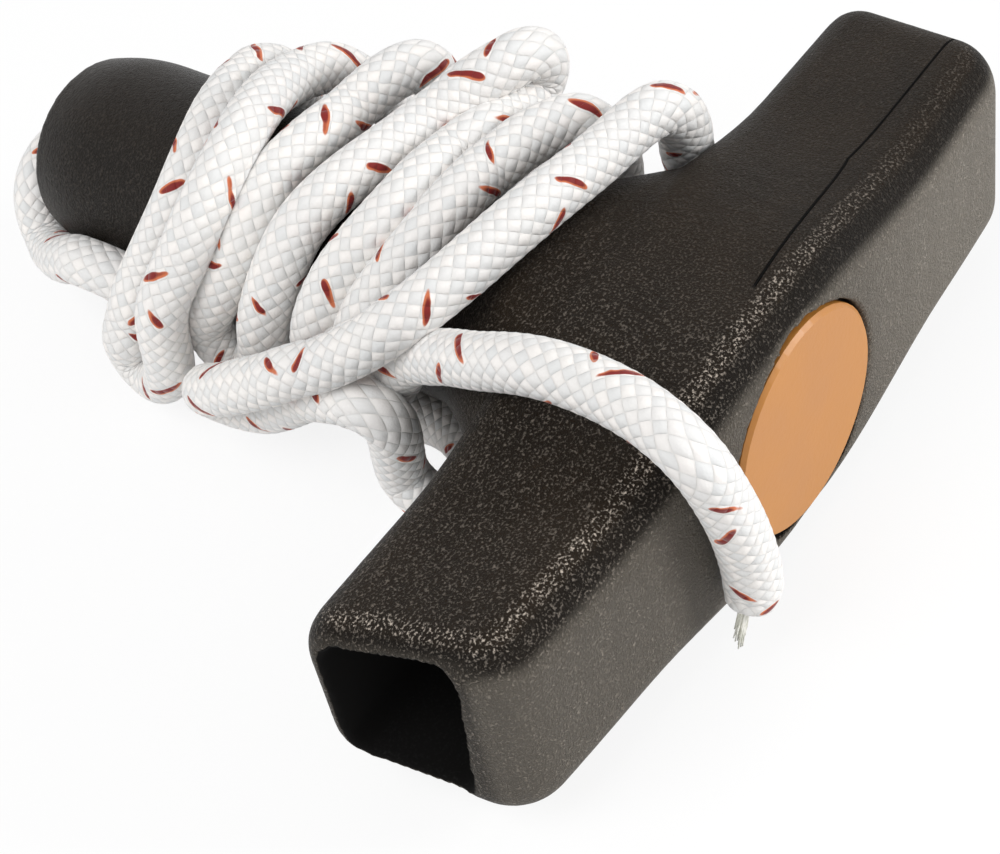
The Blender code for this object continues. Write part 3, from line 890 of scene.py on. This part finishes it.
def tube_mesh(name, points, radius, flat, look):
    """A closed tube with a braid map along and round it."""
    one, two = carried_frames(points)
    rows = len(points)
    turn = 2 * np.pi * np.arange(SIDES) / SIDES
    along = np.concatenate([[0], np.cumsum(np.linalg.norm(np.diff(points, axis=0), axis=1))])
    count_along = along / BRAID_STEP
    count_round = BRAID_ROUND * np.arange(SIDES) / SIDES
    swell = np.sin(np.pi * (count_along[:, None] + count_round[None]))
    swell = swell * np.sin(np.pi * (count_along[:, None] - count_round[None]))
    reach = radius[:, None] + 0.045 * swell**2
    ring = one[:, None] * np.cos(turn)[None, :, None] + two[:, None] * np.sin(turn)[None, :, None]
    offset = ring * reach[..., None]
    offset[..., 2] *= flat[:, None]
    spots = points[:, None] + offset
    verts = spots.reshape(-1, 3) * MM
    faces, maps = [], []
    for i in range(rows - 1):
        for j in range(SIDES):
            k = (j + 1) % SIDES
            faces.append((i * SIDES + j, i * SIDES + k, (i + 1) * SIDES + k, (i + 1) * SIDES + j))
            right = BRAID_ROUND * (j + 1) / SIDES
            maps.append((
                (count_along[i], count_round[j]), (count_along[i], right),
                (count_along[i + 1], right), (count_along[i + 1], count_round[j]),
            ))
    last = (rows - 1) * SIDES
    faces.append(tuple(reversed(range(SIDES))))
    faces.append(tuple(last + j for j in range(SIDES)))
    maps.append([(0.0, 0.0)] * SIDES)
    maps.append([(count_along[-1], 0.0)] * SIDES)
    mesh = bpy.data.meshes.new(name)
    mesh.from_pydata([tuple(v) for v in verts], [], faces)
    layer = mesh.uv_layers.new(name="braid")
    layer.data.foreach_set("uv", np.array([c for m in maps for uv in m for c in uv], np.float32))
    mesh.materials.append(look)
    mesh.shade_smooth()
    return new_object(name, mesh)


def make_rope():
    """The free rope, from inside the nose to its cut end."""
    fine, thick = smooth_line(line, half / ROPE_RADIUS, RING_SPACING)
    radius = np.full(len(fine), VISIBLE_RADIUS)
    radius += 0.05 * np.sin(np.arange(len(fine)) * RING_SPACING / 5.3)
    in_mouth = (fine[:, 1] > 43.6) & (np.abs(fine[:, 0]) < 1.5)
    radius = np.where(in_mouth, ROPE_RADIUS, radius)
    radius[: int(10.5 / RING_SPACING)] = ROPE_RADIUS
    eased = np.convolve(radius, np.ones(9) / 9, "same")
    eased[:5] = ROPE_RADIUS
    left = np.arange(len(fine))[::-1] * RING_SPACING
    cut = radius * (0.72 + 0.28 * (left / CUT_TAPER) ** 0.5)
    eased = np.where(left < CUT_TAPER, cut, eased)
    rope = tube_mesh("starter_rope", fine, eased, thick, rope_look)
    return rope, fine


rope, rope_path = make_rope()
print("rope faces:", len(rope.data.polygons))

# %% [markdown]
# The rope was cut without sealing its end, so the core's yarns stick out of the sleeve in a
# small tuft. Each yarn is a thin tapered tube that starts inside the cut and bends down and
# aside. A particle system would give more fibres, but a few dozen placed ones read the same
# from any side and stay light.

# %% Frayed end
FIBRES = 44
YARN_STEPS, YARN_SIDES = 6, 5


def make_fray(path):
    """A tuft of core yarns at the rope's cut end."""
    chance = np.random.default_rng(7)
    end = path[-1]
    ahead = path[-1] - path[-8]
    ahead /= np.linalg.norm(ahead)
    start = np.array([-0.75, 0.0, 0.0])
    verts, faces = [], []
    for _ in range(FIBRES):
        angle, reach = chance.uniform(0, 2 * np.pi), chance.uniform(0.1, 0.75)
        spread_out = np.array([np.cos(angle), 0.35 * np.sin(angle), np.sin(angle)])
        size = chance.uniform(1.2, 2.9)
        aside = np.array([-0.10, 0.0, -0.10]) + spread_out * chance.uniform(0.02, 0.16)
        t = np.linspace(0, 1, YARN_STEPS + 1)[:, None]
        line = end - ahead * 1.2 + start + spread_out * reach + ahead * (size + 1.2) * t
        line = line + aside * size * t**2
        line[:, 2] = np.maximum(line[:, 2], 0.25)
        first = len(verts)
        for row, point in enumerate(line):
            thick = 0.19 * (1 - 0.6 * row / YARN_STEPS)
            for k in range(YARN_SIDES):
                a = 2 * np.pi * k / YARN_SIDES
                verts.append(tuple((point + thick * np.array([np.cos(a), np.sin(a), 0.0])) * MM))
        for row in range(YARN_STEPS):
            base = first + row * YARN_SIDES
            for k in range(YARN_SIDES):
                n, m = base + k, base + (k + 1) % YARN_SIDES
                faces.append((n, m, m + YARN_SIDES, n + YARN_SIDES))
        tip = first + YARN_STEPS * YARN_SIDES
        faces.append(tuple(first + k for k in reversed(range(YARN_SIDES))))
        faces.append(tuple(tip + k for k in range(YARN_SIDES)))
    mesh = bpy.data.meshes.new("cut_end_yarns")
    mesh.from_pydata(verts, [], faces)
    mesh.materials.append(yarn_look)
    mesh.shade_smooth()
    tuft = new_object("cut_end_yarns", mesh)
    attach(tuft, "grip")
    return tuft


tuft = make_fray(rope_path)
print("yarn faces:", len(tuft.data.polygons))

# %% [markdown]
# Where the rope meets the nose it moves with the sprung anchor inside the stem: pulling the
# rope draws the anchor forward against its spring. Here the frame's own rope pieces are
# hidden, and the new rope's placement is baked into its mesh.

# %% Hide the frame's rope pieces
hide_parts("rope_lead", "rope_hank", "rope_tail")
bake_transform(rope)

# %% [markdown]
# The solid of the grip has flats round its stem, as any mesh from a lathe profile does, and
# hard edges where the stem meets the bar. A real moulding is soft there. Its surface is
# rebuilt as a fine, even skin with the Remesh modifier, laid back onto the solid and relaxed
# a little, which rounds every edge by a fraction of a millimetre. The remeshing grid is
# turned out of the part's own directions, because an edge that runs almost along the grid
# comes out wavy.

# %% Grip skin
VOXEL = 0.00042
GRID_TURN = (
    Matrix.Rotation(0.61, 4, "X") @ Matrix.Rotation(0.47, 4, "Y") @ Matrix.Rotation(0.38, 4, "Z")
)


def applied(obj):
    """A new mesh with the object's modifiers applied, which are then removed."""
    view = bpy.context.evaluated_depsgraph_get()
    made = bpy.data.meshes.new_from_object(obj.evaluated_get(view))
    obj.modifiers.clear()
    return made


def make_grip():
    """A fine, soft-edged skin over the grip's solid."""
    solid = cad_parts["grip_body"]
    mesh = solid.data.copy()
    grip = new_object("grip_skin", mesh)
    shape = bmesh.new()
    shape.from_mesh(mesh)
    bmesh.ops.remove_doubles(shape, verts=shape.verts, dist=0.00001)
    shape.to_mesh(mesh)
    shape.free()
    mesh.transform(GRID_TURN)
    remesh = grip.modifiers.new("skin", "REMESH")
    remesh.mode = "VOXEL"
    remesh.voxel_size = VOXEL
    grip.data = applied(grip)
    grip.data.transform(GRID_TURN.inverted())
    soften = grip.modifiers.new("soften", "SMOOTH")
    soften.factor, soften.iterations = 0.5, 6
    settle = grip.modifiers.new("settle", "SHRINKWRAP")
    settle.target = solid
    settle.wrap_method = "NEAREST_SURFACEPOINT"
    round_off = grip.modifiers.new("round_off", "SMOOTH")
    round_off.factor, round_off.iterations = 0.5, 9
    grip.data = made = applied(grip)
    made.materials.clear()
    made.materials.append(black)
    made.shade_smooth()
    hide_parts("grip_body")
    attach(grip, "grip")
    return grip


grip = make_grip()
print("grip faces:", len(grip.data.polygons))

# %% [markdown]
# The small solids are turned shapes that are already right. The cap and the anchor keep
# their own meshes and only get better materials. The spring is different: it shortens when
# the rope is pulled, and a steel copy of it stands for the solid.


# %% Small pieces
def finish_node(name, look):
    """Gives a solid from the frame its finished material."""
    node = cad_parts[name]
    for place in node.material_slots:
        place.material = look
    return node


def make_spring():
    """A steel copy of the damper spring, standing in for its solid."""
    spring = new_object("spring_coil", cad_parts["damper_spring"].data.copy())
    spring.data.materials.clear()
    spring.data.materials.append(steel)
    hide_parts("damper_spring")
    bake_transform(spring)
    return spring


cap = finish_node("cap", orange)
anchor = finish_node("rope_anchor", nylon)
spring = make_spring()
print("small pieces:", cap.name, anchor.name, spring.name)

# %% [markdown]
# Inside the stem the rope ends in a knot. Both are out of sight once the cap is on, but an
# opened view should show rope and not bare tubes, so the straight stretch is a short braided
# tube and the knot a tight overhand knot swept along its own curve.


# %% Rope inside the stem
CORE_END, CORE_RADIUS = 33.4, 2.4
KNOT_POINTS, KNOT_RING, KNOT_RADIUS = 90, 3.1, 2.2


def make_core():
    """The straight rope from the knot to just short of the nose."""
    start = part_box("rope_core")[0].y / MM
    count = int((CORE_END - start) / RING_SPACING)
    y = np.linspace(start, CORE_END, count)
    points = np.stack([0 * y, y, 0 * y + AXIS_Z], 1)
    thick = np.full(count, CORE_RADIUS)
    core = tube_mesh("rope_inside", points, thick, np.ones(count), rope_look)
    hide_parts("rope_core")
    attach(core, "plunger")
    return core


def make_knot():
    """A tight overhand knot that fills the space of its plain solid."""
    low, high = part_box("rope_knot")
    middle = np.array([0.0, (low.y + high.y) / 2 / MM, AXIS_Z])
    t = np.linspace(0.0, 2 * np.pi, KNOT_POINTS)
    points = np.stack([
        KNOT_RING * (np.sin(t) + 0.45 * np.sin(2 * t)),
        2.0 * np.sin(3 * t),
        KNOT_RING * (np.cos(t) - 0.45 * np.cos(2 * t)),
    ], 1) * 0.72 + middle
    thick = np.full(KNOT_POINTS, KNOT_RADIUS)
    knot = tube_mesh("rope_knot_tied", points, thick, np.ones(KNOT_POINTS), rope_look)
    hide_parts("rope_knot")
    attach(knot, "plunger")
    return knot


core = make_core()
knot = make_knot()
print("rope inside the stem:", core.name, knot.name)

# %% [markdown]
# The floor is a plain white sheet, and the light is soft. A lamp stands low on the right, so
# that the outer face with the cap is the brightest side of the grip, and the top stays
# dark. A larger one hangs above on the left and draws the rope's strands apart. The world
# fills the shadows. Rays from the camera, and those that a surface mirrors or lets through,
# see the floor and the world as nearly clean white. The floor keeps a share of its own
# shading, so it still takes the object's shadow.


# %% Floor, light and world
FLOOR_HALF = 2.5
PLAIN_SHARE = 0.86
WORLD_STRENGTH = 0.46


def white_floor():
    """A white floor that camera rays see brighter than the object is lit."""
    made, tree, shader = new_material("floor_white")
    shader.inputs["Base Color"].default_value = (0.97, 0.97, 0.97, 1.0)
    shader.inputs["Roughness"].default_value = 0.9
    mesh = bpy.data.meshes.new("floor")
    size = FLOOR_HALF
    corners = [(-size, -size, 0), (size, -size, 0), (size, size, 0), (-size, size, 0)]
    mesh.from_pydata(corners, [], [(0, 1, 2, 3)])
    mesh.materials.append(made)
    floor = new_object("floor", mesh)
    light = tree.node("ShaderNodeEmission")
    light.inputs["Color"].default_value = (1, 1, 1, 1)
    blend = tree.node("ShaderNodeMixShader")
    tree.feed(blend.inputs[0], tree.times(tree.background_rays(), PLAIN_SHARE))
    tree.links.new(shader.outputs[0], blend.inputs[1])
    tree.links.new(light.outputs[0], blend.inputs[2])
    end = made.node_tree.nodes["Material Output"]
    tree.links.new(blend.outputs[0], end.inputs["Surface"])
    return floor


def add_lamp(name, place, aim, size, power):
    """A square area lamp that faces a point."""
    data = bpy.data.lights.new(name, "AREA")
    data.shape = "SQUARE"
    data.size = size
    data.energy = power
    lamp = new_object(name, data)
    lamp.location = place
    way = Vector(aim) - Vector(place)
    lamp.rotation_euler = way.to_track_quat("-Z", "Y").to_euler()
    return lamp


def add_world(strength):
    """An even white surround that fills the shadows."""
    world = bpy.data.worlds.new("surround")
    world.use_nodes = True
    scene.world = world
    tree = Tree(world.node_tree)
    back = world.node_tree.nodes["Background"]
    back.inputs["Color"].default_value = (1, 1, 1, 1)
    tree.feed(back.inputs["Strength"], tree.math("MAXIMUM", tree.background_rays(), strength))
    return world


floor = white_floor()
key = add_lamp("key", (0.26, -0.42, 0.20), (0.0, -0.02, 0.015), size=0.18, power=1.7)
top = add_lamp("top", (-0.34, 0.08, 0.50), (0.0, 0.0, 0.0), size=0.36, power=2.0)
world = add_world(WORLD_STRENGTH)
print("lamps:", key.name, top.name)
